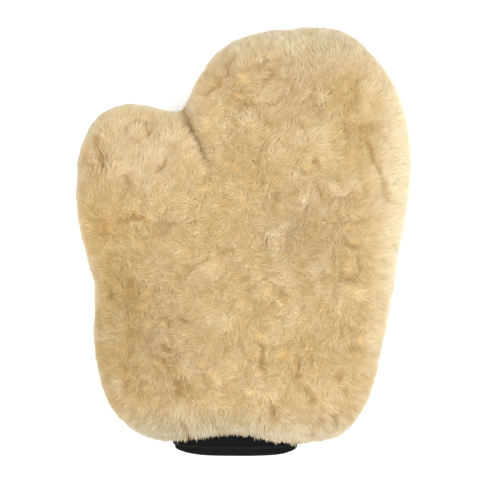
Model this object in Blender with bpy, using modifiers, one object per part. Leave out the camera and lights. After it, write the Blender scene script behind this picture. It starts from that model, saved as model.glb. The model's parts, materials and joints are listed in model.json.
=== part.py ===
"""Sheepskin wash mitt with a thumb and an elastic knit cuff, lying on its back.

+X points to the side away from the thumb, +Y to the fingertips and +Z up, out of the front.
The origin is the centre of the base, on the surface that the mitt lies on.
Two pelts, front and back, are sewn together edge to edge with the wool outside.
Each pelt is a thin hide and the wool that stands on it, and both are parted at the base of
the thumb, where the thumb bends up about a hinge line that runs across the hide.
"""
import math

import bmesh
import bpy
from mathutils import Vector
from mathutils.geometry import delaunay_2d_cdt

MM = 0.001
GAP = 0.3 * MM                     # clearance between pieces that touch

# heights above the surface that the mitt lies on
MID_Z = 26.0 * MM                  # plane where the two pelts meet
FRONT_WOOL_RIM = 26.0 * MM         # from MID_Z up to the start of the front crown
FRONT_CROWN = 3.0 * MM             # extra height of the wool over the middle
BACK_WOOL = MID_Z                  # the back is pressed flat on the surface
WOOL_ROUND = 24.0 * MM             # inset over which the wool's edge rounds over
HIDE_HALF = 9.5 * MM               # from MID_Z to the outside of a hide
HIDE_ROUND = 14.0 * MM
HIDE_THICK = 1.5 * MM

# outlines, in mm, clockwise seen from above
WOOL_OUTLINE = (
    (-39, 81), (-29, 103), (-10, 124), (24, 133.5), (60, 132.5), (86.5, 112), (102.5, 77),
    (105, 40), (96, -20), (89, -60), (80, -98), (62, -122), (29, -128.5), (-2, -123), (-34, -126),
    (-64, -123), (-85, -102), (-94.5, -65.5), (-94.5, -28), (-103.5, 10), (-104.5, 48), (-93, 76.5),
    (-74, 86), (-54, 84),
)
HIDE_OUTLINE = (
    (-29, 58), (-25, 76), (-16, 98), (0, 113), (24, 119), (52, 116), (74, 102), (87, 72),
    (89, 40), (80, -20), (73, -60), (62, -95), (43, -120), (38, -150), (-4.5, -175), (-47, -150),
    (-52, -120), (-68, -97), (-79, -66), (-80, -28), (-88, 8), (-90, 44), (-83, 63),
    (-70, 72), (-55, 69), (-42, 59),
)
WOOL_STEP = 11.0 * MM              # spacing of the points round an outline
HIDE_STEP = 10.0 * MM
KNOT_STEPS = 24                    # fine points between two points of an outline
CROWN_GRID = 26.0 * MM
# an edge rounds over in rings at these shares of its inset, as an oval of this power
WOOL_RINGS = (0.0, 0.04, 0.15, 0.34, 0.62, 1.0)
WOOL_POWER = 2.2
HIDE_RINGS = (0.0, 0.03, 0.12, 0.3, 0.6, 1.0)
HIDE_POWER = 2.0

WRIST_Y = -113.0 * MM              # edge of both hides, where the cuff is sewn in
SEAM_RADIUS = 1.2 * MM
SEAM_INSET = HIDE_THICK + GAP + SEAM_RADIUS
SEAM_END_Y = WRIST_Y + 12 * MM     # the edge seams stop here, clear of the cuff

# thumb hinge: a line across the base of the thumb, square to the crease beside it
HINGE_POINT = Vector((-24.0 * MM, 47.0 * MM, MID_Z))
HINGE_ANGLE = math.radians(205.0)  # direction from the crease to the outer edge
FOLD_ROOM = 4.0 * MM               # each front hide stops this far from the hinge line
THUMB_BOX = 160.0 * MM

# cuff
CUFF_X = -4.7 * MM
CUFF_TOP_Y = -104.0 * MM
CUFF_HEM_Y = -133.0 * MM
CUFF_HEM_BOW = 2.0 * MM            # the hem hangs lower in the middle
CUFF_HALF_WIDTH = (43.5 * MM, 37.1 * MM)   # at the top and at the hem
CUFF_HALF_HEIGHT = (7.5 * MM, 9.5 * MM)
CUFF_SQUARE = 2.5                  # power of the oval, 2 is an ellipse
KNIT = 0.9 * MM                    # thickness of one layer of knit
ELASTIC = 0.7 * MM
ELASTIC_WIDTH = 18.0 * MM
FOLD_SLOT = ELASTIC + 2 * GAP      # room for the elastic between the two layers
CUFF_SIDES = 44
HEM_TURN = 1.7 * MM                # the fold curves over this far up from the hem
HEM_CORNER = 0.5 * MM
FOLD_FLOOR = 3.0 * MM              # from the hem up to the bottom of the room in the fold
ELASTIC_FLOOR = 4.0 * MM           # from the hem up to the elastic
HEM_STITCH = 5.0 * MM              # from the hem up to its line of stitches
THREAD = 0.45 * MM                 # radius of the cuff's sewing thread
SIDE_SEAM = 0.8 * MM               # radius of the ridge inside the cuff
SIDE_SEAM_STEPS = 5

COLOURS = {                        # base colour and roughness
    "wool": ((0.66, 0.50, 0.27, 1.0), 0.95),
    "hide": ((0.74, 0.66, 0.52, 1.0), 0.85),
    "thread": ((0.80, 0.75, 0.64, 1.0), 0.70),
    "knit": ((0.010, 0.010, 0.009, 1.0), 0.90),
    "elastic": ((0.60, 0.59, 0.56, 1.0), 0.80),
}


def clear_scene():
    for old in list(bpy.data.objects):
        bpy.data.objects.remove(old, do_unlink=True)


def new_collection(name):
    collection = bpy.data.collections.new(name)
    bpy.context.scene.collection.children.link(collection)
    return collection


def material(name):
    made = bpy.data.materials.get(name) or bpy.data.materials.new(name)
    made.use_nodes = True
    shader = made.node_tree.nodes["Principled BSDF"]
    colour, roughness = COLOURS[name.rsplit("_", 1)[-1]]
    shader.inputs["Base Color"].default_value = colour
    shader.inputs["Roughness"].default_value = roughness
    shader.inputs["Metallic"].default_value = 0.0
    made.diffuse_color = colour
    return made


def smooth_loop(points, step):
    """A closed smooth curve through the points, as evenly spaced points about a step apart."""
    count = len(points)
    knots = [Vector(p) * MM for p in points]
    fine = []
    for i in range(count):
        a, b, c, d = (knots[(i + k) % count] for k in (-1, 0, 1, 2))
        for n in range(KNOT_STEPS):
            t = n / KNOT_STEPS
            fine.append(0.5 * (2 * b + (c - a) * t + (2 * a - 5 * b + 4 * c - d) * t**2
                               + (3 * b - a - 3 * c + d) * t**3))
    lengths = [(fine[(i + 1) % len(fine)] - p).length for i, p in enumerate(fine)]
    whole = sum(lengths)
    number = round(whole / step)
    loop = []
    walked, i = 0.0, 0
    for n in range(number):
        target = whole * n / number
        while walked + lengths[i] < target:
            walked += lengths[i]
            i += 1
        share = (target - walked) / lengths[i]
        loop.append(fine[i].lerp(fine[(i + 1) % len(fine)], share))
    return loop


def inset_loop(loop, distance):
    """The clockwise loop moved inwards, each point square to the curve."""
    moved = []
    for i, point in enumerate(loop):
        along = (loop[(i + 1) % len(loop)] - loop[i - 1]).normalized()
        moved.append(point + Vector((along.y, -along.x)) * distance)
    return moved


def is_inside(point, loop):
    inside = False
    for i, a in enumerate(loop):
        b = loop[i - 1]
        if (a.y > point.y) != (b.y > point.y):
            if point.x < (b.x - a.x) * (point.y - a.y) / (b.y - a.y) + a.x:
                inside = not inside
    return inside


def loop_distance(point, loop):
    return min((point - p).length for p in loop)


def crown_points(loop, grid, room):
    """Grid points inside the loop, at least room away from it."""
    low_x = min(p.x for p in loop)
    low_y = min(p.y for p in loop)
    columns = int((max(p.x for p in loop) - low_x) / grid) + 1
    rows = int((max(p.y for p in loop) - low_y) / grid) + 1
    found = []
    for row in range(rows):
        for column in range(columns):
            shift = 0.5 * grid * (row % 2)
            point = Vector((low_x + column * grid + shift, low_y + row * grid))
            if is_inside(point, loop) and loop_distance(point, loop) > room:
                found.append(point)
    return found


def round_profile(half, round_over, shares, power):
    """(inset, height) pairs for an edge that rises from the meeting plane and rounds over."""
    pairs = []
    for part in shares:
        height = half * (1 - (1 - part) ** power) ** (1 / power)
        pairs.append((round_over * part, height))
    return pairs


def add_surface(bm, loop, profile, side, crown=0.0):
    """Rings of one side of a cushion, closed by a cap; returns the outermost ring's vertices."""
    rings = []
    for inset, height in profile:
        flat = inset_loop(loop, inset)
        rings.append([bm.verts.new((p.x, p.y, MID_Z + side * height)) for p in flat])
    count = len(loop)
    for low, high in zip(rings, rings[1:]):
        for i in range(count):
            j = (i + 1) % count
            bm.faces.new((low[i], high[i], high[j], low[j]))
    inset, height = profile[-1]
    rim = inset_loop(loop, inset)
    inner = crown_points(rim, CROWN_GRID, 0.4 * CROWN_GRID) if crown else []
    edges = [(i, (i + 1) % count) for i in range(count)]
    points, _, faces, sources, _, _ = delaunay_2d_cdt(rim + inner, edges, [], 1, 1e-6)
    cap = []
    for point, source in zip(points, sources):
        if source[0] < count:
            cap.append(rings[-1][source[0]])
        else:
            rise = crown * (1 - math.exp(-loop_distance(point, rim) / CROWN_GRID))
            cap.append(bm.verts.new((point.x, point.y, MID_Z + side * (height + rise))))
    for face in faces:
        bm.faces.new([cap[i] for i in face])
    return rings[0]


def mesh_object(name, bm, collection, material_name=None):
    bmesh.ops.recalc_face_normals(bm, faces=bm.faces)
    mesh = bpy.data.meshes.new(name)
    bm.to_mesh(mesh)
    bm.free()
    made = bpy.data.objects.new(name, mesh)
    collection.objects.link(made)
    if material_name:
        mesh.materials.append(material(material_name))
        mesh.shade_smooth()
        mesh.set_sharp_from_angle(angle=math.radians(40))
    return made


def make_cutter(made):
    made.hide_render = True
    made.display_type = "WIRE"
    return made


def cut(made, cutter, operation="DIFFERENCE"):
    boolean = made.modifiers.new(cutter.name, "BOOLEAN")
    boolean.operation = operation
    boolean.object = cutter
    boolean.solver = "EXACT"


def box_cutter(name, low, high, collection):
    bpy.ops.mesh.primitive_cube_add(size=1.0)
    made = bpy.context.object
    made.name = name
    for vertex in made.data.vertices:
        vertex.co = [lo + (hi - lo) * (c + 0.5) for lo, hi, c in zip(low, high, vertex.co)]
    for old in list(made.users_collection):
        old.objects.unlink(made)
    collection.objects.link(made)
    return make_cutter(made)


def thumb_cutter(name, beside_crease, past_hinge, collection):
    """A box whose corner stands on the hinge point: along the hinge, and out over the thumb."""
    low = (beside_crease, -THUMB_BOX, -MID_Z - 10 * MM)
    high = (beside_crease + THUMB_BOX, -past_hinge, 2 * MID_Z)
    made = box_cutter(name, low, high, collection)
    made.location = HINGE_POINT
    made.rotation_euler = (0, 0, HINGE_ANGLE)
    return made


def core_cutter(loop, collection):
    """The space that the two hides and what they hold take out of the wool."""
    profile = round_profile(HIDE_HALF + GAP, HIDE_ROUND, HIDE_RINGS, HIDE_POWER)
    outer = inset_loop(loop, -GAP)
    bm = bmesh.new()
    front = add_surface(bm, outer, [(0.0, GAP)] + profile[1:], 1)
    back = add_surface(bm, outer, [(0.0, GAP)] + profile[1:], -1)
    for i, vertex in enumerate(front):
        j = (i + 1) % len(front)
        bm.faces.new((vertex, front[j], back[j], back[i]))
    return make_cutter(mesh_object("hide_space", bm, collection))


def wool_layer(name, side, loop, core, collection):
    """Half of the fleece, from the meeting plane out to its rounded face, round the hides."""
    half = FRONT_WOOL_RIM if side > 0 else BACK_WOOL
    crown = FRONT_CROWN if side > 0 else 0.0
    profile = round_profile(half, WOOL_ROUND, WOOL_RINGS, WOOL_POWER)
    profile[0] = (0.0, 0.5 * GAP)
    bm = bmesh.new()
    edge = add_surface(bm, loop, profile, side, crown)
    bm.faces.new(edge)
    made = mesh_object(name, bm, collection, "wool")
    cut(made, core)
    return made


def hide_layer(name, side, loop, collection):
    """One hide: a dished sheet whose edge meets the other hide's at the meeting plane."""
    profile = round_profile(HIDE_HALF, HIDE_ROUND, HIDE_RINGS, HIDE_POWER)
    upright = (0.0, 1.0 * MM)
    bm = bmesh.new()
    add_surface(bm, loop, [(0.0, 0.5 * GAP), upright] + profile[1:], side)
    made = mesh_object(name, bm, collection, "hide")
    if made.data.polygons[-1].normal.z * side < 0:
        made.data.flip_normals()
    solid = made.modifiers.new("thickness", "SOLIDIFY")
    solid.thickness = HIDE_THICK
    solid.offset = -1.0
    solid.use_even_offset = True
    return made


def tube(name, points, radius, collection, material_name, closed=False):
    """A thread or seam ridge along the points."""
    curve = bpy.data.curves.new(name, "CURVE")
    curve.dimensions = "3D"
    curve.bevel_depth = radius
    curve.bevel_resolution = 1
    curve.use_fill_caps = not closed
    spline = curve.splines.new("POLY")
    spline.points.add(len(points) - 1)
    for slot, point in zip(spline.points, points):
        slot.co = (*point, 1.0)
    spline.use_cyclic_u = closed
    curve.materials.append(material(material_name))
    made = bpy.data.objects.new(name, curve)
    collection.objects.link(made)
    return made


def hinge_place(point):
    """(along the hinge, past the hinge) of a point, from the hinge point."""
    along = Vector((math.cos(HINGE_ANGLE), math.sin(HINGE_ANGLE)))
    across = Vector((along.y, -along.x))
    away = point - HINGE_POINT.xy
    return away.dot(along), away.dot(across)


def edge_seams(loop, collection):
    """The ridge of the overcast seam inside the mitt's edge, one stretch for each side of the
    thumb and one round the thumb."""
    room = SEAM_RADIUS + GAP
    path = inset_loop(loop, SEAM_INSET)
    runs = {"heel_edge_seam": [], "thumb_edge_seam": [], "finger_edge_seam": []}
    for point in path:
        along, past = hinge_place(point)
        if point.y < SEAM_END_Y:
            continue
        if along > room and past > room:
            runs["thumb_edge_seam"].append(point)
        elif point.x < HINGE_POINT.x and past < -room:
            runs["heel_edge_seam"].append(point)
        elif along < -room and (point.x > HINGE_POINT.x or past > 0):
            runs["finger_edge_seam"].append(point)
    for name, run in runs.items():
        run = in_order(run)
        tube(name, [(p.x, p.y, MID_Z) for p in run], SEAM_RADIUS, collection, "thread")


def in_order(run):
    """The run's points turned so that its widest gap lies between its last and its first."""
    gaps = [(run[i] - run[i - 1]).length for i in range(len(run))]
    first = gaps.index(max(gaps))
    return run[first:] + run[:first]


def cuff_point(turn, y, outward):
    """A point round the cuff: turn in radians, y along the mitt, outward from the knit's face."""
    share = (CUFF_TOP_Y - y) / (CUFF_TOP_Y - CUFF_HEM_Y)
    half_width = CUFF_HALF_WIDTH[0] + (CUFF_HALF_WIDTH[1] - CUFF_HALF_WIDTH[0]) * share
    half_height = CUFF_HALF_HEIGHT[0] + (CUFF_HALF_HEIGHT[1] - CUFF_HALF_HEIGHT[0]) * share**2
    cos, sin = math.cos(turn), math.sin(turn)
    bend = 2 / CUFF_SQUARE
    x = (half_width + outward) * math.copysign(abs(cos) ** bend, cos)
    z = (half_height + outward) * math.copysign(abs(sin) ** bend, sin)
    return Vector((CUFF_X + x, y - CUFF_HEM_BOW * share * sin**2, MID_Z + z))


def cuff_ring(name, section, collection, material_name):
    """A closed section of (y, outward) pairs carried round the cuff."""
    bm = bmesh.new()
    rings = []
    for n in range(CUFF_SIDES):
        turn = 2 * math.pi * n / CUFF_SIDES
        rings.append([bm.verts.new(cuff_point(turn, y, out)) for y, out in section])
    for n, ring in enumerate(rings):
        after = rings[(n + 1) % CUFF_SIDES]
        for i in range(len(section)):
            j = (i + 1) % len(section)
            bm.faces.new((ring[i], ring[j], after[j], after[i]))
    return mesh_object(name, bm, collection, material_name)


def make_cuff(collection):
    inner = -(2 * KNIT + FOLD_SLOT)
    fold = 0.5 * inner
    hem = CUFF_HEM_Y
    low = hem + ELASTIC_FLOOR
    levels = (CUFF_TOP_Y, low + ELASTIC_WIDTH, low + 0.5 * ELASTIC_WIDTH, low)
    outer_face = [(y, 0.0) for y in levels] + [(hem + HEM_TURN, 0.0)]
    hem_fold = [(hem + HEM_CORNER, 0.3 * fold), (hem, fold), (hem + HEM_CORNER, 1.7 * fold)]
    inner_face = [(hem + HEM_TURN, inner)] + [(y, inner) for y in reversed(levels)]
    slot_inner = [(y, inner + KNIT) for y in levels] + [(hem + FOLD_FLOOR, inner + KNIT)]
    slot_outer = [(hem + FOLD_FLOOR, -KNIT)] + [(y, -KNIT) for y in reversed(levels)]
    knit = outer_face + hem_fold + inner_face + slot_inner + slot_outer
    cuff_ring("cuff_knit", knit, collection, "cuff_knit")
    face = -KNIT - GAP
    band = [(y, face) for y in reversed(levels[1:])] + [(y, face - ELASTIC) for y in levels[1:]]
    cuff_ring("cuff_elastic", band, collection, "cuff_elastic")
    turns = [2 * math.pi * n / CUFF_SIDES for n in range(CUFF_SIDES)]
    out = THREAD + GAP
    hem_line = [cuff_point(t, hem + HEM_STITCH, out) for t in turns]
    tube("cuff_hem_stitch", hem_line, THREAD, collection, "hem_knit", closed=True)
    join_line = [cuff_point(t, WRIST_Y - out, out) for t in turns]
    tube("cuff_join_stitch", join_line, THREAD, collection, "join_thread", closed=True)
    seam = []
    for n in range(SIDE_SEAM_STEPS):
        share = n / (SIDE_SEAM_STEPS - 1)
        y = (CUFF_TOP_Y - HEM_TURN) * (1 - share) + (hem + HEM_TURN) * share
        seam.append(cuff_point(math.pi, y, inner - SIDE_SEAM - GAP))
    tube("cuff_side_seam", seam, SIDE_SEAM, collection, "seam_knit")


def hinge_empty(collection):
    made = bpy.data.objects.new("thumb_hinge", None)
    made.location = HINGE_POINT
    made.empty_display_size = 0.03
    collection.objects.link(made)
    return made


def main():
    clear_scene()
    parts = new_collection("wash_mitt")
    cutters = new_collection("cutters")
    wool_loop = smooth_loop(WOOL_OUTLINE, WOOL_STEP)
    hide_loop = smooth_loop(HIDE_OUTLINE, HIDE_STEP)
    core = core_cutter(hide_loop, cutters)
    side = 0.5 * GAP
    wrist = box_cutter("wrist_end", (-0.2, WRIST_Y - 0.1, -0.1), (0.2, WRIST_Y, 0.1), cutters)
    fold = thumb_cutter("thumb_room_front", -side, -FOLD_ROOM, cutters)
    back = thumb_cutter("thumb_room_back", -side, -side, cutters)
    wool_keep = thumb_cutter("thumb_front_wool_keep", side, GAP - FOLD_ROOM, cutters)
    hide_keep = thumb_cutter("thumb_front_hide_keep", side, FOLD_ROOM, cutters)
    back_keep = thumb_cutter("thumb_back_keep", side, side, cutters)

    cut(wool_layer("front_wool", 1, wool_loop, core, parts), fold)
    cut(wool_layer("back_wool", -1, wool_loop, core, parts), back)
    cut(wool_layer("thumb_front_wool", 1, wool_loop, core, parts), wool_keep, "INTERSECT")
    cut(wool_layer("thumb_back_wool", -1, wool_loop, core, parts), back_keep, "INTERSECT")
    for name, face, room in (("front_hide", 1, fold), ("back_hide", -1, back)):
        hide = hide_layer(name, face, hide_loop, parts)
        cut(hide, wrist)
        cut(hide, room)
    cut(hide_layer("thumb_front_hide", 1, hide_loop, parts), hide_keep, "INTERSECT")
    cut(hide_layer("thumb_back_hide", -1, hide_loop, parts), back_keep, "INTERSECT")
    edge_seams(hide_loop, parts)
    make_cuff(parts)

    hinge = hinge_empty(parts)
    for made in list(parts.objects):
        if made.name.startswith("thumb_") and made is not hinge:
            made.parent = hinge
            made.location = -HINGE_POINT


main()
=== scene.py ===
# Looks of a sheepskin wash mitt: wool as combed locks on a fleece, a rib-knit cuff and hides.
import json
import math

import bmesh
import bpy
import numpy as np
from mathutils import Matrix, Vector
from mathutils.kdtree import KDTree


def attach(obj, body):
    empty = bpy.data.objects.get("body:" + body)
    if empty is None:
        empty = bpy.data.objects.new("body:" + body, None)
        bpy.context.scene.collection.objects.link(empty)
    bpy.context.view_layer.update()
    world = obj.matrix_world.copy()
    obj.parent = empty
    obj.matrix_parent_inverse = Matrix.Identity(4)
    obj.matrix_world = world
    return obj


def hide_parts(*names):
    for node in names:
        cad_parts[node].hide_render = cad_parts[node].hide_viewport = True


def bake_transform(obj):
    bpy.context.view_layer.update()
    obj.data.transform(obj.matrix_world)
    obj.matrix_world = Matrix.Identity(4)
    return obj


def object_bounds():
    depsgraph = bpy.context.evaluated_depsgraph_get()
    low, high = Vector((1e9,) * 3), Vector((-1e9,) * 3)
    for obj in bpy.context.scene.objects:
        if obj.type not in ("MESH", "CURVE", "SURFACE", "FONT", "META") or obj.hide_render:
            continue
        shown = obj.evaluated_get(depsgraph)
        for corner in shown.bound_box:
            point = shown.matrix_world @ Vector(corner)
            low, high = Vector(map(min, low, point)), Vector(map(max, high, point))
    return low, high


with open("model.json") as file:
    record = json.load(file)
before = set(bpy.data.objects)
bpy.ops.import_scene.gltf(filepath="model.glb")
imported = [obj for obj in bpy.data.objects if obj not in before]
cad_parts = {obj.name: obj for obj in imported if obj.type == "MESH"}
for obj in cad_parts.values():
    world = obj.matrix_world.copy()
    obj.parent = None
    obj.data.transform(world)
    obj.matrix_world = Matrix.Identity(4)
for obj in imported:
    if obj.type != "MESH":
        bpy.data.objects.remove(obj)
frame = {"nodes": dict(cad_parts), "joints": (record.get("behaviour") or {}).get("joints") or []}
cad_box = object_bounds()

MM = 0.001

# ---------------------------------------------------------------- driving sizes
PILE = 2.5 * MM                 # locks stand this far out of the fleece, up to the CAD wool
FLEECE_VOXEL = 2.5 * MM
LOCK_SPACING = 0.78 * MM        # one lock for each cell of this size
LOCK_SPACING_UNDER = 1.7 * MM   # on the face that lies on the floor
LYING = -0.92                   # where the upward part of the normal is below this
SAMPLES_PER_CELL = 3.5
COARSER = 1.0
THICKER = 1.0
FLEECE_FLOOR = 1.2 * MM         # no part of the fleece is lower
STRAND_RADIUS = 0.42 * MM
TUFT = 2.6 * MM                 # small tufts, a few locks each
CLUMP = 9.5 * MM                # larger clumps, with partings between them
PIECE_TRIANGLES = 180000        # no piece of wool holds more

hinge = frame["joints"][0]
HINGE_POINT = Vector(hinge["pos_m"])
HINGE_AXIS = Vector(hinge["axis"]).normalized()
PAST_HINGE = Vector((0, 0, 1)).cross(HINGE_AXIS)       # out over the thumb
SPLIT = 17.0 * MM               # the thumb's wool starts this far back in the palm


WOOLS = ("front_wool", "back_wool", "thumb_front_wool", "thumb_back_wool")
HIDES = ("front_hide", "back_hide", "thumb_front_hide", "thumb_back_hide")


def hinge_place(points):
    """Distances of points from the crease plane and from the hinge line; both are positive
    in the thumb."""
    away = points - np.array(HINGE_POINT)
    return -away @ np.array(HINGE_AXIS), away @ np.array(PAST_HINGE)


def in_thumb(points):
    beside, past = hinge_place(points)
    return (beside > 0) & (past > -SPLIT)


# ---------------------------------------------------------------- small tools
def smooth_step(low, high, value):
    t = np.clip((value - low) / (high - low), 0.0, 1.0)
    return t * t * (3 - 2 * t)


LATTICE = 48


def noise(points, size, seed):
    """Smooth noise from -1 to 1 at each point, with features about size across."""
    grid = np.random.default_rng(seed).uniform(-1, 1, (LATTICE,) * 3)
    place = points / size + 100.5
    cell = np.floor(place).astype(int)
    t = place - cell
    t = t * t * (3 - 2 * t)
    total = np.zeros(len(points))
    for dx in (0, 1):
        for dy in (0, 1):
            for dz in (0, 1):
                share = (np.abs(1 - dx - t[:, 0]) * np.abs(1 - dy - t[:, 1])
                         * np.abs(1 - dz - t[:, 2]))
                i = (cell + (dx, dy, dz)) % LATTICE
                total += share * grid[i[:, 0], i[:, 1], i[:, 2]]
    return total


def noise_vector(points, size, seed):
    return np.stack([noise(points, size, seed + k) for k in range(3)], 1)


def unit(vectors):
    return vectors / np.maximum(np.linalg.norm(vectors, axis=1, keepdims=True), 1e-12)


def linear(*rgb):
    """An sRGB colour of 0 to 255 in Blender's linear numbers."""
    return tuple((c / 255 / 12.92 if c <= 10 else ((c / 255 + 0.055) / 1.055) ** 2.4) for c in rgb)


def new_object(name, data):
    made = bpy.data.objects.new(name, data)
    bpy.context.scene.collection.objects.link(made)
    return made


def only_active(made):
    bpy.ops.object.select_all(action="DESELECT")
    made.select_set(True)
    bpy.context.view_layer.objects.active = made


def coordinates(mesh):
    flat = np.empty(len(mesh.vertices) * 3, np.float32)
    mesh.vertices.foreach_get("co", flat)
    return flat.reshape(-1, 3).astype(float)


def vertex_normals(mesh):
    flat = np.empty(len(mesh.vertices) * 3, np.float32)
    mesh.vertex_normals.foreach_get("vector", flat)
    return flat.reshape(-1, 3).astype(float)


def move_vertices(mesh, points):
    mesh.vertices.foreach_set("co", points.astype(np.float32).ravel())
    mesh.update()


def face_outward(mesh):
    bm = bmesh.new()
    bm.from_mesh(mesh)
    bmesh.ops.recalc_face_normals(bm, faces=bm.faces)
    bm.to_mesh(mesh)
    bm.free()


def tree_of(points):
    tree = KDTree(len(points))
    for i, point in enumerate(points):
        tree.insert(point, i)
    tree.balance()
    return tree


def one_per_cell(points, size):
    """The index of one point in each filled cell of a grid; size may differ between points."""
    key = np.floor(points / size).astype(np.int64)
    code = (key[:, 0] * 73856093) ^ (key[:, 1] * 19349663) ^ (key[:, 2] * 83492791)
    return np.unique(code, return_index=True)[1]


def mesh_from_triangles(name, points, triangles):
    mesh = bpy.data.meshes.new(name)
    mesh.vertices.add(len(points))
    mesh.vertices.foreach_set("co", points.astype(np.float32).ravel())
    mesh.loops.add(triangles.size)
    mesh.loops.foreach_set("vertex_index", triangles.astype(np.int32).ravel())
    mesh.polygons.add(len(triangles))
    mesh.polygons.foreach_set("loop_start", np.arange(0, triangles.size, 3, dtype=np.int32))
    mesh.update(calc_edges=True)
    return mesh


# ---------------------------------------------------------------- wool colour
ROOT_TINT_AND_SHADE = (1.0, 0.92, 0.77)  # the wool is yellower towards its roots, and painted darker there as shade deep in the pile
WOOL_MIDDLE = linear(221, 196, 150)
WOOL_PALE = linear(248, 236, 204)
WOOL_YELLOW = linear(214, 181, 118)
WOOL_GREY = linear(205, 183, 143)
WOOL_ASH = linear(217, 204, 177)
WOOL_PARTING_SHADE = linear(170, 131, 76)       # painted shade deep in the partings and the clefts
WOOL_CREASE_SHADE = linear(172, 134, 84)       # painted shade in the fold beside the thumb
TUFT_SHADE_TINT = (0.75, 1.0, 1.5)          # painted shade between small tufts: where it is darker it is yellower


def wool_colour(points, normals):
    """Base colour of the wool at each point, with painted light and painted shade laid into it."""
    x, y, _ = points.T / MM
    rgb = np.tile(WOOL_MIDDLE, (len(points), 1))

    def lay(colour, amount):
        amount = np.clip(amount, 0, 1)[:, None]
        rgb[:] = rgb * (1 - amount) + np.array(colour) * amount

    blotch = noise(points, 26 * MM, 11)
    fine = noise(points, 7 * MM, 12)
    side = smooth_step(0.75, 0.15, normals[:, 2])
    left_low = smooth_step(-50, -85, x) * smooth_step(40, 10, y) * smooth_step(-118, -90, y)
    lay(WOOL_GREY, 0.8 * np.exp(-((x - 35) / 30) ** 2 - ((y - 10) / 32) ** 2) + 0.25 * blotch)
    lay(WOOL_GREY, 0.7 * np.exp(-((x - 30) / 34) ** 2 - ((y - 88) / 24) ** 2))
    lay(WOOL_YELLOW, 0.45 * smooth_step(0.1, 0.8, blotch + 0.4 * fine) + 0.6 * left_low)
    right = smooth_step(71, 98, x)
    top = smooth_step(95, 124, y)
    thumb = np.exp(-((x + 62) / 30) ** 2 - ((y - 62) / 32) ** 2)
    low = smooth_step(-98, -120, y)
    # painted light: the sides and the right edge are laid paler as painted rim glow; the paler top,
    # thumb and bottom are the wool's own tone
    lay(WOOL_PALE, 0.35 * side + 0.75 * right + 0.15 * top + 0.36 * thumb + 0.1 * low)
    lay(WOOL_ASH, 0.6 * top * (1 - right) + 0.6 * low + 0.65 * side * (1 - right) * (1 - 0.7 * left_low))
    # painted highlight: the ridges of the wool's relief are laid paler
    ridge_highlight = 0.7 * noise(points, 14 * MM, 22) + 0.5 * noise(points, 7 * MM, 24)
    lay(WOOL_PALE, 0.3 * smooth_step(0.1, 0.9, ridge_highlight))
    # painted shade: the partings and the clefts between tufts are laid darker and yellower
    parted, _ = near_partings(points)
    front = smooth_step(0.3, 0.8, normals[:, 2])
    lay(WOOL_PARTING_SHADE, (0.62 * (1 - np.exp(-parted / 0.8)) + 0.35 * clefts(points)) * front)
    # painted shade in the fold between the thumb and the fingers
    lay(WOOL_CREASE_SHADE, 0.7 * crease_depth(points))
    heel = smooth_step(-60, -95, y)
    # partly painted shade: a random mottle of small tufts, laid darker and yellower as the shade between
    # them
    tuft_shade_mottle = 0.1 * noise(points, 4 * MM, 92) + 0.1 * noise(points, 2.2 * MM, 93)
    tuft_shade_mottle += 0.04 * noise(points, 8 * MM, 94)
    tuft_shade_mottle *= (1 + 0.4 * heel * (1 - right)) * (1 - 0.35 * thumb) * (1 - 0.6 * right)
    rgb *= 1 + tuft_shade_mottle[:, None] * TUFT_SHADE_TINT
    # painted shade: the left and lower left are laid darker, as the shade of the light from the right
    left_shade = np.exp(-((x + 80) / 55) ** 2 - ((y + 60) / 55) ** 2)
    rgb *= 1 - 0.18 * left_shade[:, None]
    heel_left = low * smooth_step(30, -10, x)
    rgb *= 1 - heel_left[:, None] * (0.09, 0.05, 0.02)
    return rgb


# ---------------------------------------------------------------- fleece
UNDERCOAT_SHADE = 0.9                # brightness of the fleece under the locks, next to theirs: painted shade under the locks


def make_fleece():
    """One closed fleece from the CAD's four wool solids; shape_fleece draws it in under the locks."""
    both = bmesh.new()
    for name in WOOLS:
        node = frame["nodes"][name]
        copy = node.data.copy()
        copy.transform(node.matrix_world)
        both.from_mesh(copy)
        bpy.data.meshes.remove(copy)
    mesh = bpy.data.meshes.new("fleece")
    both.to_mesh(mesh)
    both.free()
    mesh.remesh_voxel_size = FLEECE_VOXEL
    made = new_object("fleece", mesh)
    only_active(made)
    bpy.ops.object.voxel_remesh()
    smooth = made.modifiers.new("smooth", "SMOOTH")
    smooth.iterations = 6
    bpy.ops.object.modifier_apply(modifier=smooth.name)
    return made


def hide_tree():
    """Points all over the outsides of the hides, to tell the fleece's inside from its outside."""
    points = []
    for name in HIDES:
        mesh = frame["nodes"][name].data
        corners = np.array([p.vertices[:3] for p in mesh.polygons])
        points.append(coordinates(mesh))
        points.append(points[-1][corners].mean(1))
    return tree_of(np.concatenate(points))


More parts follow.
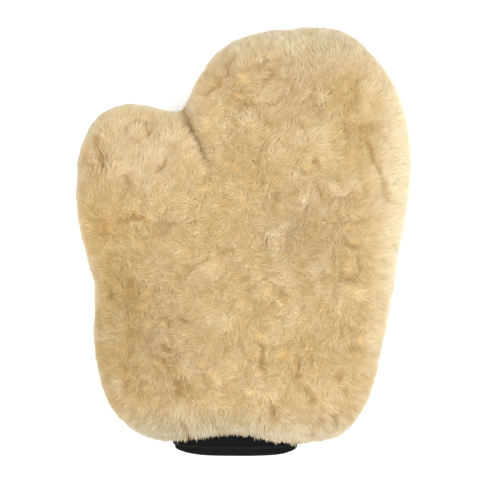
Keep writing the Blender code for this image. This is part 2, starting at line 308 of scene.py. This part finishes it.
# lines where the wool parts, from one (x, y) to another in mm, then depth and half width in mm
PARTINGS = (
    # fingertips
    ((-13, 95), (-5, 113), 3.2, 2.2),
    ((-21, 89), (-13, 94), 3.0, 2.2),
    ((-8, 76), (-3, 72), 1.8, 1.6),
    ((12, 71), (15, 68), 1.8, 1.6),
    ((50, 95), (54, 90), 1.8, 1.6),
    ((77, 59), (84, 37), 2.8, 1.7),
    ((85, 36), (87, 24), 1.8, 2.4),
    # thumb
    ((-60, 62), (-57, 67), 1.4, 1.6),
    ((-53, 41), (-48, 48), 1.8, 1.7),
    ((-91, 62), (-88, 43), 2.2, 2.0),
    ((-77, 40), (-71, 36), 1.6, 1.8),
    ((-69, 14), (-62, 15), 1.6, 1.6),
    # palm
    ((42, 50), (45, 45), 2.0, 2.0),
    ((44, 32), (47, 25), 1.8, 1.8),
    ((20, 28), (21, 22), 1.6, 1.6),
    ((-81, -29), (-79, -36), 2.4, 2.0),
    ((-71, -24), (-68, -34), 2.0, 2.0),
    ((24, -33), (26, -39), 2.0, 1.8),
    ((-39, -47), (-34, -52), 2.0, 1.8),
    ((-50, -62), (-46, -68), 2.2, 2.0),
    ((10, -63), (12, -81), 2.0, 1.8),
    # heel of the hand
    ((-49, -74), (-44, -79), 2.0, 1.8),
    ((-74, -78), (-70, -92), 2.8, 2.4),
    ((32, -70), (35, -83), 2.2, 1.9),
    ((59, -82), (62, -93), 1.4, 2.0),
    ((-42, -86), (-39, -94), 2.4, 2.2),
    ((37, -89), (41, -98), 2.0, 1.9),
    ((15, -99), (19, -109), 2.2, 1.9),
    ((-38, -109), (-34, -121), 2.0, 2.0),
    ((54, -106), (56, -113), 1.2, 1.9),
)


def near_partings(points):
    """Depth of the partings at each point in mm, and the way out of them as a flat vector."""
    flat = points[:, :2] / MM
    wobble = np.stack([noise(points, 9 * MM, 61), noise(points, 9 * MM, 62)], 1) * 1.6
    flat = flat + wobble
    depth = np.zeros(len(points))
    away = np.zeros((len(points), 3))
    for start, end, deep, wide in PARTINGS:
        start, line = np.array(start, float), np.array(end, float) - start
        t = np.clip((flat - start) @ line / (line @ line), 0, 1)
        off = flat - (start + t[:, None] * line)
        distance = np.linalg.norm(off, axis=1)
        taper = np.sqrt(np.clip(1 - (2 * t - 1) ** 4, 0.15, 1))
        depth += deep * taper * np.exp(-(distance / (0.7 * wide)) ** 2)
        push = taper * np.exp(-(distance / (2.2 * wide)) ** 2) / np.maximum(distance, 0.6)
        away[:, :2] += off * push[:, None]
    return depth, away


def clefts(points):
    """0 to 1 along the soft short clefts between the fluffy tufts of the pile."""
    line = 1 - np.abs(noise(points, 12 * MM, 81) + 0.35 * noise(points, 5 * MM, 84))
    patch = smooth_step(-0.15, 0.5, noise(points, 19 * MM, 82))
    return smooth_step(0.72, 1.0, line) * patch


def crease_depth(points):
    """0 to 1 into the fold between the thumb and the fingers."""
    beside, past = (d / MM for d in hinge_place(points))
    width = np.where(beside < -1.0, 4.8, 2.8)
    crease = np.exp(-((beside + 1.0) / width) ** 2) * smooth_step(-9, 9, past)
    return crease * smooth_step(64, 50, past)


def lay_relief(points, normals):
    """Height of the wool above or below its even surface, in metres."""
    beside, past = (d / MM for d in hinge_place(points))
    front = smooth_step(0.35, 0.85, normals[:, 2])
    lip = np.exp(-((beside - 9) / 7.0) ** 2) * smooth_step(-12, 10, past) * smooth_step(60, 40, past)
    parted, _ = near_partings(points)
    rolling = noise(points, 30 * MM, 21) * 1.3 + noise(points, 14 * MM, 22) * 1.1
    rolling += noise(points, 7 * MM, 24) * 0.9
    even = 2.5 * lip - 0.8 * parted - 1.3 * clefts(points) + rolling
    side = noise(points, 22 * MM, 23) * 0.7 + noise(points, 11 * MM, 25) * 0.7
    fold = -5.0 * crease_depth(points) * smooth_step(0.1, 0.6, normals[:, 2])
    return (even * front + side * (1 - front) + fold) * MM


def pile_depth(normals):
    """How far the locks stand out of the fleece; they are pressed flat where it lies."""
    return PILE * (1 - 0.6 * smooth_step(-0.75, -0.98, normals[:, 2]))


def shape_fleece(made):
    """Draw the fleece in and give it its relief; returns 1 on its outside, 0 in the hand space."""
    tree = hide_tree()
    mesh = made.data
    points = coordinates(mesh)
    normals = vertex_normals(mesh)
    depth = np.array([tree.find(p)[2] for p in points])
    outside = smooth_step(3.0 * MM, 7.5 * MM, depth)
    relief = lay_relief(points, normals)
    moved = points + normals * ((relief - pile_depth(normals)) * outside)[:, None]
    moved[:, 2] = np.maximum(moved[:, 2], FLEECE_FLOOR)
    move_vertices(mesh, moved)
    return outside


def sample_roots(mesh, outside):
    """Even points over the fleece's outer faces, with their normals."""
    rng = np.random.default_rng(3)
    mesh.calc_loop_triangles()
    corners = np.empty(len(mesh.loop_triangles) * 3, np.int32)
    mesh.loop_triangles.foreach_get("vertices", corners)
    corners = corners.reshape(-1, 3)
    points, normals = coordinates(mesh), vertex_normals(mesh)
    keep = outside[corners].min(1) > 0.5
    corners = corners[keep]
    a, b, c = (points[corners[:, k]] for k in range(3))
    area = 0.5 * np.linalg.norm(np.cross(b - a, c - a), axis=1)
    number = int(area.sum() / LOCK_SPACING**2 * SAMPLES_PER_CELL)
    face = rng.choice(len(corners), number, p=area / area.sum())
    u, v = rng.random(number), rng.random(number)
    over = u + v > 1
    u[over], v[over] = 1 - u[over], 1 - v[over]
    w = 1 - u - v
    share = np.stack([w, u, v], 1)[:, :, None]
    root = (points[corners[face]] * share).sum(1)
    normal = unit((normals[corners[face]] * share).sum(1))
    cell = np.where(normal[:, 2] < LYING, LOCK_SPACING_UNDER, LOCK_SPACING) * COARSER
    kept = np.sort(one_per_cell(root, cell[:, None]))
    return root[kept], normal[kept]


def gather(points, size, seed):
    """A nearby centre for each point: the points are shared between centres about size apart."""
    order = np.random.default_rng(seed).permutation(len(points))
    centres = points[order[one_per_cell(points[order], size)]]
    tree = tree_of(centres)
    nearest = np.array([tree.find(p)[1] for p in points])
    return nearest, centres


LEAST_LEAN = 0.85               # no lock leans less than this for its height


def curliness(points, normals):
    """1 where the wool is short and curly, in the palm, and 0 where it is combed out smooth."""
    x, y, _ = points.T / MM
    beside, past = (d / MM for d in hinge_place(points))
    thumb = smooth_step(-4, 10, beside) * smooth_step(-14, 12, past)
    rim = smooth_step(0.99, 0.85, normals[:, 2])
    right = smooth_step(66, 84, x)
    smooth = (1 - 0.75 * thumb) * (1 - 0.85 * rim) * (1 - 0.8 * right)
    return smooth * (0.75 + 0.25 * noise(points, 20 * MM, 71))


def comb(points, normals):
    """The way the locks lean, as a vector along the surface."""
    x, y, _ = points.T / MM
    beside, past = (d / MM for d in hinge_place(points))
    curly = curliness(points, normals)[:, None]
    lean = ((0.2 + 0.3 * curly) * noise_vector(points, 34 * MM, 31)
            + (0.15 + 0.45 * curly) * noise_vector(points, 13 * MM, 35)
            + (0.05 + 0.75 * curly) * noise_vector(points, 4.5 * MM, 38))
    upper = smooth_step(20, 60, y) * (1 - smooth_step(90, 120, y)) * smooth_step(-10, 20, x)
    lean += np.outer(upper, (0.2, 0.35, 0.0))
    rim = smooth_step(0.99, 0.8, normals[:, 2]) * smooth_step(-0.97, -0.7, normals[:, 2])
    lean += rim[:, None] * (0.7 * unit(normals * (1, 1, 0)) - np.array((0, 0, 0.5)))
    thumb = smooth_step(-6, 8, beside) * smooth_step(-22, 8, past)
    lean += np.outer(thumb, (0.42, 0.66, 0.0))
    low = smooth_step(-70, -112, y)
    lean += np.outer(low, (0.0, -0.45, 0.0)) + np.stack([low * x / 160, 0 * x, 0 * x], 1)
    right = smooth_step(55, 95, x)
    lean += np.outer(right, (0.35, 0.1, 0.0))
    top = smooth_step(80, 120, y)
    lean += np.outer(top, (0.0, 0.35, 0.0))
    beyond = np.exp(-((beside + 5) / 5) ** 2) * smooth_step(-9, 9, past)
    lean += np.outer(beyond, 0.4 * np.array(HINGE_AXIS))
    _, away = near_partings(points)
    lean += 0.35 * away
    lean -= normals * (lean * normals).sum(1, keepdims=True)
    size = np.linalg.norm(lean, axis=1, keepdims=True)
    return lean / np.maximum(size, 1e-9) * (LEAST_LEAN + (1 - 0.5 * LEAST_LEAN) * size)


RINGS = 3                       # rings of points along a lock, below its tip
SIDES = 3
RING_WIDTHS = (1.0, 0.9, 0.62)
ROOT_DEPTH = 1.0 * MM           # locks start this far inside the fleece
PRESSED = 2.0 * MM              # below this height the locks are pressed against the floor
CURL = 0.27 * MM
SKIN_SHADING = 0.9              # share of the fleece's own normals in the shading of the locks
UNDERSIDE_SHADING = 0.1         # the same on the undersides of the locks


def make_locks(roots, normals, depth, rng):
    """Every lock as a closed, tapered, curved strand: the points of its rings and its tip."""
    count = len(roots)
    tuft, tuft_centres = gather(roots, TUFT, 51)
    clump, clump_centres = gather(roots, CLUMP, 52)
    lean = comb(roots, normals)
    curly = curliness(roots, normals)
    tuft_lean = rng.normal(0, 1, (len(tuft_centres), 3))[tuft] * (0.04 + 0.16 * curly)[:, None]
    tuft_length = 1 + rng.normal(0, 0.06, len(tuft_centres))[tuft]
    lean = lean + tuft_lean - normals * (tuft_lean * normals).sum(1, keepdims=True)
    length = depth * tuft_length * rng.normal(1.0, 0.05, count) * 1.06
    to_tuft = tuft_centres[tuft] - roots
    to_clump = clump_centres[clump] - roots
    open_clump = smooth_step(-0.1, 0.7, noise(roots, 24 * MM, 53))
    open_clump = np.maximum(open_clump, smooth_step(-84 * MM, -112 * MM, roots[:, 1]))
    pull = (to_tuft * (0.07 + 0.2 * curly)[:, None]
            + to_clump * (0.01 + 0.08 * open_clump)[:, None])
    pull -= normals * (pull * normals).sum(1, keepdims=True)
    side_a = unit(np.cross(normals, rng.normal(0, 1, (count, 3))))
    side_b = np.cross(normals, side_a)
    phase = rng.uniform(0, 2 * math.pi, count)
    curl = CURL * (0.6 + 0.8 * rng.random(count))
    parted, _ = near_partings(roots)
    front = smooth_step(0.35, 0.85, normals[:, 2])
    sink = (0.3 * parted + 0.4 * clefts(roots)) * front * MM
    roots = roots - normals * sink[:, None]
    radius = STRAND_RADIUS * rng.uniform(0.8, 1.25, count) * THICKER
    spine = []
    for t in np.linspace(0, 1, RINGS + 1):
        wave = phase + 5.5 * t
        place = (roots - normals * ROOT_DEPTH * (1 - t)
                 + normals * (length * t)[:, None]
                 + lean * (length * t**1.5)[:, None]
                 + pull * t**1.3
                 + side_a * (curl * t * np.cos(wave))[:, None]
                 + side_b * (curl * t * np.sin(wave))[:, None])
        spine.append(place)
    spine = np.stack(spine, 1)
    along = np.gradient(spine, axis=1)
    points = np.empty((count, RINGS * SIDES + 1, 3))
    for k in range(RINGS):
        direction = unit(along[:, k])
        first = unit(np.cross(direction, side_a + 0.3 * side_b))
        second = np.cross(direction, first)
        for m in range(SIDES):
            turn = 2 * math.pi * m / SIDES
            offset = first * math.cos(turn) + second * math.sin(turn)
            points[:, k * SIDES + m] = spine[:, k] + offset * (radius * RING_WIDTHS[k])[:, None]
    points[:, -1] = spine[:, RINGS]
    z = points[:, :, 2]
    points[:, :, 2] = np.where(z < PRESSED, PRESSED * np.exp((z - PRESSED) / PRESSED), z)
    return points


def strand_triangles():
    """The triangles of one lock: its sides, its tip and its closed root."""
    faces = []
    for k in range(RINGS - 1):
        for m in range(SIDES):
            a, b = k * SIDES + m, k * SIDES + (m + 1) % SIDES
            c, d = b + SIDES, a + SIDES
            faces += [(a, b, c), (a, c, d)]
    last = (RINGS - 1) * SIDES
    faces += [(last + m, last + (m + 1) % SIDES, RINGS * SIDES) for m in range(SIDES)]
    faces.append((2, 1, 0))
    return np.array(faces)


def strand_pieces(name, points, colours, facing, material):
    """Objects of up to PIECE_TRIANGLES triangles that together hold every strand."""
    faces = strand_triangles()
    per_piece = PIECE_TRIANGLES // len(faces)
    number = math.ceil(len(points) / per_piece)
    order = np.argsort(points[:, 0, 1], kind="stable")
    made = []
    for n, chosen in enumerate(np.array_split(order, number)):
        own = points[chosen]
        shift = np.arange(len(own))[:, None, None] * own.shape[1]
        mesh = mesh_from_triangles(f"{name}_{n + 1}", own.reshape(-1, 3),
                                   (faces[None] + shift).reshape(-1, 3))
        mesh.materials.append(material)
        mesh.shade_smooth()
        layer = mesh.color_attributes.new("wool", "FLOAT_COLOR", "POINT")
        rgba = np.ones((len(own), own.shape[1], 4), np.float32)
        rgba[:, :, :3] = colours[chosen]
        layer.data.foreach_set("color", rgba.ravel())
        skin = np.repeat(facing[chosen], own.shape[1], axis=0)
        own_way = vertex_normals(mesh)
        upper = smooth_step(-0.6, 0.2, (skin * own_way).sum(1, keepdims=True))
        share = UNDERSIDE_SHADING + (SKIN_SHADING - UNDERSIDE_SHADING) * upper
        mesh.normals_split_custom_set_from_vertices(unit(skin * share + own_way * (1 - share)))
        made.append(new_object(f"{name}_{n + 1}", mesh))
    return made


# ---------------------------------------------------------------- materials
def new_material(name):
    made = bpy.data.materials.new(name)
    made.use_nodes = True
    tree = made.node_tree
    return made, tree, tree.nodes["Principled BSDF"]


def add(tree, kind, **settings):
    node = tree.nodes.new(kind)
    for key, value in settings.items():
        setattr(node, key, value)
    return node


def wool_material(name):
    made, tree, shader = new_material(name)
    colour = add(tree, "ShaderNodeAttribute", attribute_name="wool")
    texture = add(tree, "ShaderNodeTexNoise")
    texture.inputs["Scale"].default_value = 900.0
    texture.inputs["Detail"].default_value = 3.0
    where = add(tree, "ShaderNodeTexCoord")
    tree.links.new(where.outputs["Object"], texture.inputs["Vector"])
    tint = add(tree, "ShaderNodeHueSaturation")
    spread = add(tree, "ShaderNodeMapRange")
    spread.inputs["To Min"].default_value = 0.9
    spread.inputs["To Max"].default_value = 1.1
    tree.links.new(texture.outputs["Fac"], spread.inputs["Value"])
    tree.links.new(colour.outputs["Color"], tint.inputs["Color"])
    tree.links.new(spread.outputs["Result"], tint.inputs["Value"])
    tree.links.new(tint.outputs["Color"], shader.inputs["Base Color"])
    shader.inputs["Roughness"].default_value = 0.85
    shader.inputs["Sheen Weight"].default_value = 0.35
    shader.inputs["Sheen Roughness"].default_value = 0.45
    shader.inputs["Sheen Tint"].default_value = (1.0, 0.95, 0.85, 1.0)
    shader.inputs["Specular IOR Level"].default_value = 0.2
    return made


def plain_material(name, colour, roughness, grain=600.0, bump=0.3):
    """Cloth or leather: a colour that varies a little in two sizes, over a fine nap."""
    made, tree, shader = new_material(name)
    where = add(tree, "ShaderNodeTexCoord")
    fine = add(tree, "ShaderNodeTexNoise")
    fine.inputs["Scale"].default_value = grain
    fine.inputs["Detail"].default_value = 4.0
    broad = add(tree, "ShaderNodeTexNoise")
    broad.inputs["Scale"].default_value = grain / 12
    blend = add(tree, "ShaderNodeMath", operation="MULTIPLY_ADD")
    blend.inputs[1].default_value = 0.6
    ramp = add(tree, "ShaderNodeValToRGB")
    ramp.color_ramp.elements[0].position = 0.55
    ramp.color_ramp.elements[0].color = (*(c * 0.78 for c in colour), 1)
    ramp.color_ramp.elements[1].position = 1.0
    ramp.color_ramp.elements[1].color = (*(min(1, c * 1.12) for c in colour), 1)
    nap = add(tree, "ShaderNodeBump")
    nap.inputs["Strength"].default_value = bump
    nap.inputs["Distance"].default_value = 0.0004
    for texture in (fine, broad):
        tree.links.new(where.outputs["Object"], texture.inputs["Vector"])
    tree.links.new(broad.outputs["Fac"], blend.inputs[0])
    tree.links.new(fine.outputs["Fac"], blend.inputs[2])
    tree.links.new(blend.outputs["Value"], ramp.inputs["Fac"])
    tree.links.new(ramp.outputs["Color"], shader.inputs["Base Color"])
    tree.links.new(fine.outputs["Fac"], nap.inputs["Height"])
    tree.links.new(nap.outputs["Normal"], shader.inputs["Normal"])
    shader.inputs["Roughness"].default_value = roughness
    return made


def knit_material():
    """Black rib knit: rows of loops across the ribs."""
    made = plain_material("rib_knit", linear(15, 15, 14), 0.8, grain=900.0)
    tree = made.node_tree
    shader = tree.nodes["Principled BSDF"]
    where = next(n for n in tree.nodes if n.type == "TEX_COORD")
    rows = add(tree, "ShaderNodeTexWave", bands_direction="Y")
    rows.inputs["Scale"].default_value = 350.0
    rows.inputs["Distortion"].default_value = 1.5
    nap = next(n for n in tree.nodes if n.type == "BUMP")
    tree.links.new(where.outputs["Object"], rows.inputs["Vector"])
    tree.links.new(rows.outputs["Fac"], nap.inputs["Height"])
    nap.inputs["Strength"].default_value = 0.5
    shader.inputs["Specular IOR Level"].default_value = 0.15
    return made


# ---------------------------------------------------------------- assembly
CUT_GAP = 0.15 * MM             # half the gap between the palm's fleece and the thumb's
CUTTER_SIZE = 0.2


def split_fleece(fleece, material):
    """The palm's fleece and the thumb's, cut apart along the crease and behind the hinge."""
    cutters = []
    for gap in (-CUT_GAP, CUT_GAP):
        bpy.ops.mesh.primitive_cube_add(size=1.0)
        box = bpy.context.object
        for v in box.data.vertices:
            v.co = ((v.co.x + 0.5) * CUTTER_SIZE, (v.co.y + 0.5) * CUTTER_SIZE, v.co.z * CUTTER_SIZE)
        turn = math.atan2(-HINGE_AXIS.y, -HINGE_AXIS.x)
        box.scale = (1, -1, 1)
        box.rotation_euler = (0, 0, turn)
        box.location = HINGE_POINT + (-HINGE_AXIS) * gap + PAST_HINGE * (gap - SPLIT)
        only_active(box)
        bpy.ops.object.transform_apply(location=True, rotation=True, scale=True)
        face_outward(box.data)
        cutters.append(box)
    thumb = new_object("fleece_thumb", fleece.data.copy())
    fleece.name = "fleece_palm"
    for piece, cutter, operation in ((fleece, cutters[0], "DIFFERENCE"),
                                     (thumb, cutters[1], "INTERSECT")):
        boolean = piece.modifiers.new("cut", "BOOLEAN")
        boolean.object = cutter
        boolean.operation = operation
        boolean.solver = "EXACT"
        only_active(piece)
        bpy.ops.object.modifier_apply(modifier=boolean.name)
    for cutter in cutters:
        bpy.data.objects.remove(cutter, do_unlink=True)
    for piece in (fleece, thumb):
        mesh = piece.data
        mesh.materials.clear()
        mesh.materials.append(material)
        mesh.shade_smooth()
        points, normals = coordinates(mesh), vertex_normals(mesh)
        colour = np.ones((len(points), 4), np.float32)
        # painted shade: the fleece under the locks takes their root colour and shade and is painted
        # darker still
        colour[:, :3] = wool_colour(points, normals) * np.array(ROOT_TINT_AND_SHADE) * UNDERCOAT_SHADE
        layer = mesh.color_attributes.new("wool", "FLOAT_COLOR", "POINT")
        layer.data.foreach_set("color", colour.ravel())
    return fleece, thumb


def bend_at_thumb(piece):
    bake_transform(piece)


def make_wool():
    lock_material = wool_material("wool_locks")
    fleece_material = wool_material("wool_fleece")
    fleece = make_fleece()
    outside = shape_fleece(fleece)
    roots, normals = sample_roots(fleece.data, outside)
    rng = np.random.default_rng(5)
    points = make_locks(roots, normals, pile_depth(normals), rng)
    base = wool_colour(roots, normals) * rng.normal(1.0, 0.035, (len(roots), 1))
    up = np.append(np.repeat(np.arange(RINGS) / RINGS, SIDES), 1.0)[:, None]
    # painted shade: each lock is yellower towards its root and painted darker there
    shade = np.array(ROOT_TINT_AND_SHADE) ** (1 - up)
    colours = np.clip(base[:, None] * shade[None], 0, 0.97)
    print("locks", len(roots), "triangles", len(roots) * len(strand_triangles()), flush=True)
    palm, thumb = split_fleece(fleece, fleece_material)
    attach(palm, "mitt")
    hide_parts("front_wool", "back_wool")
    bend_at_thumb(thumb)
    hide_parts("thumb_front_wool", "thumb_back_wool")
    on_thumb = in_thumb(roots)
    for piece in strand_pieces("locks_palm", points[~on_thumb], colours[~on_thumb],
                               normals[~on_thumb], lock_material):
        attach(piece, "mitt")
    for piece in strand_pieces("locks_thumb", points[on_thumb], colours[on_thumb],
                               normals[on_thumb], lock_material):
        bend_at_thumb(piece)


CUFF_X, CUFF_Z = -4.7 * MM, 26.0 * MM
CUFF_TOP, CUFF_HEM = -104.0 * MM, -133.0 * MM
CUFF_HALF_WIDTH = (43.5 * MM, 38.0 * MM)        # at the top and at the hem
CUFF_HALF_HEIGHT = (7.5 * MM, 9.5 * MM)
KNIT = 0.9 * MM
FOLD_SLOT = 1.3 * MM
RIBS = 96
RIB_SIDES = 6
RIB_DEPTH = 0.24 * MM
HEM_TURN = 1.7 * MM


def cuff_points(turn, y, outward):
    """Points of the cuff's face: turn in radians round it, moved outward from the face."""
    share = (CUFF_TOP - y) / (CUFF_TOP - CUFF_HEM)
    width = CUFF_HALF_WIDTH[0] + (CUFF_HALF_WIDTH[1] - CUFF_HALF_WIDTH[0]) * share + outward
    height = CUFF_HALF_HEIGHT[0] + (CUFF_HALF_HEIGHT[1] - CUFF_HALF_HEIGHT[0]) * share**2 + outward
    cos, sin = np.cos(turn), np.sin(turn)
    x = CUFF_X + width * np.sign(cos) * np.abs(cos) ** 0.8
    z = CUFF_Z + height * np.sign(sin) * np.abs(sin) ** 0.8
    corner = 1.4 * MM * np.abs(cos) ** 6 * share**3
    hang = y - 2.0 * MM * share * sin**2 + corner
    points = np.stack([x, hang, z], -1)
    wave = noise(points.reshape(-1, 3) * (1, 0, 1), 15 * MM, 91).reshape(hang.shape)
    points[..., 1] += 0.45 * MM * wave * np.clip(share, 0, 1) ** 2
    return points


def even_turns(count):
    """Turns that are evenly spaced along the cuff's outline."""
    fine = np.linspace(0, 2 * math.pi, 8001)
    around = cuff_points(fine, np.full(len(fine), -122.0 * MM), 0.0)
    walked = np.concatenate([[0], np.linalg.norm(np.diff(around, axis=0), axis=1).cumsum()])
    return np.interp(np.arange(count) / count * walked[-1], walked, fine)


def make_cuff(material):
    """The folded band of rib knit, with the slot that the elastic lies in."""
    sides = RIBS * RIB_SIDES
    turn = even_turns(sides)
    rib = np.abs(np.cos(np.arange(sides) * math.pi / RIB_SIDES)) ** 0.7 - 0.6
    inner = -(2 * KNIT + FOLD_SLOT)
    down = np.linspace(CUFF_TOP, CUFF_HEM + HEM_TURN, 26)
    section = [(y, 0.0, 1.0) for y in down]
    for n in range(1, 8):
        angle = math.pi * n / 8
        y = CUFF_HEM + HEM_TURN * (1 - math.sin(angle))
        section.append((y, 0.5 * inner * (1 - math.cos(angle)), math.cos(angle)))
    section += [(y, inner, -1.0) for y in down[::-1]]
    floor = CUFF_HEM + 3 * MM
    section += [(y, inner + KNIT, 0.0) for y in np.linspace(CUFF_TOP, floor, 6)]
    section += [(y, -KNIT, 0.0) for y in np.linspace(floor, CUFF_TOP, 6)]
    rows = [cuff_points(turn, np.full(sides, y), out + RIB_DEPTH * ribbed * rib)
            for y, out, ribbed in section]
    points = np.stack(rows, 1)
    levels = len(section)
    i, j = np.meshgrid(np.arange(sides), np.arange(levels), indexing="ij")
    a = i * levels + j
    b = i * levels + (j + 1) % levels
    c = (i + 1) % sides * levels + (j + 1) % levels
    d = (i + 1) % sides * levels + j
    triangles = np.stack([a, b, c, a, c, d], -1).reshape(-1, 3)
    mesh = mesh_from_triangles("rib_knit", points.reshape(-1, 3), triangles)
    face_outward(mesh)
    mesh.materials.append(material)
    mesh.shade_smooth()
    made = new_object("rib_knit", mesh)
    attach(made, "mitt")
    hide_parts("cuff_knit")


def make_zigzag(name, y, radius, material, node):
    """A closed zigzag line of thread round the cuff, as stretch seams are sewn."""
    count = 240
    turn = even_turns(count)
    swing = 0.8 * MM * np.where(np.arange(count) % 2, 1.0, -1.0)
    points = cuff_points(turn, y + swing, radius + RIB_DEPTH)
    curve = bpy.data.curves.new(name, "CURVE")
    curve.dimensions = "3D"
    curve.bevel_depth = radius
    curve.bevel_resolution = 2
    spline = curve.splines.new("POLY")
    spline.points.add(count - 1)
    spline.points.foreach_set("co", np.insert(points, 3, 1.0, axis=1).ravel())
    spline.use_cyclic_u = True
    curve.materials.append(material)
    made = new_object(name, curve)
    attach(made, "mitt")
    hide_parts(node)


def dress_cad_nodes():
    hide = plain_material("suede", linear(226, 212, 186), 0.88, grain=350.0, bump=0.5)
    thread = plain_material("thread", linear(228, 220, 198), 0.7, grain=1500.0)
    black_thread = plain_material("black_thread", linear(30, 29, 28), 0.6, grain=1500.0)
    elastic = plain_material("elastic", linear(206, 203, 198), 0.7, grain=1100.0)
    make_cuff(knit_material())
    make_zigzag("hem_zigzag", -128.0 * MM, 0.3 * MM, black_thread, "cuff_hem_stitch")
    make_zigzag("join_zigzag", -113.6 * MM, 0.3 * MM, thread, "cuff_join_stitch")
    dress = {
        hide: HIDES,
        thread: ("heel_edge_seam", "finger_edge_seam", "thumb_edge_seam"),
        black_thread: ("cuff_side_seam",),
        elastic: ("cuff_elastic",),
    }
    for material, names in dress.items():
        for name in names:
            mesh = frame["nodes"][name].data
            mesh.materials.clear()
            mesh.materials.append(material)


# ---------------------------------------------------------------- studio
def area_light(name, place, target, size, power):
    light = bpy.data.lights.new(name, "AREA")
    light.shape = "DISK"
    light.size = size
    light.energy = power
    made = new_object(name, light)
    made.location = place
    made.rotation_euler = (Vector(target) - Vector(place)).to_track_quat("-Z", "Y").to_euler()


def make_studio():
    bpy.ops.mesh.primitive_plane_add(size=8.0)
    floor = bpy.context.object
    floor.name = "floor"
    floor.location.z = -0.0004
    material, _, shader = new_material("floor")
    shader.inputs["Base Color"].default_value = (0.93, 0.93, 0.93, 1)
    shader.inputs["Roughness"].default_value = 0.9
    shader.inputs["Emission Color"].default_value = (1, 1, 1, 1)
    shader.inputs["Emission Strength"].default_value = 0.25
    floor.data.materials.append(material)
    world = bpy.data.worlds.new("studio")
    bpy.context.scene.world = world
    world.use_nodes = True
    world.node_tree.nodes["Background"].inputs["Color"].default_value = (1, 1, 1, 1)
    world.node_tree.nodes["Background"].inputs["Strength"].default_value = 1.12
    area_light("key", (0.75, 0.1, 1.6), (0, 0, 0), 1.0, 10.0)
    area_light("fill", (-0.8, -0.1, 1.6), (0, 0, 0), 1.0, 6.0)
    view = bpy.context.scene.view_settings
    view.view_transform = "Standard"
    view.look = "None"


def make_camera():
    camera = bpy.data.cameras.new("camera")
    camera.sensor_width = 36.0
    camera.lens = 119.0
    made = new_object("camera", camera)
    middle = 0.5 * (Vector(cad_box[0]) + Vector(cad_box[1]))
    made.location = (-2.2 * MM, 0.3 * MM, middle.z + 1.0)
    made.rotation_euler = (0, 0, 0)
    bpy.context.scene.camera = made


make_camera()
make_studio()
dress_cad_nodes()
make_wool()
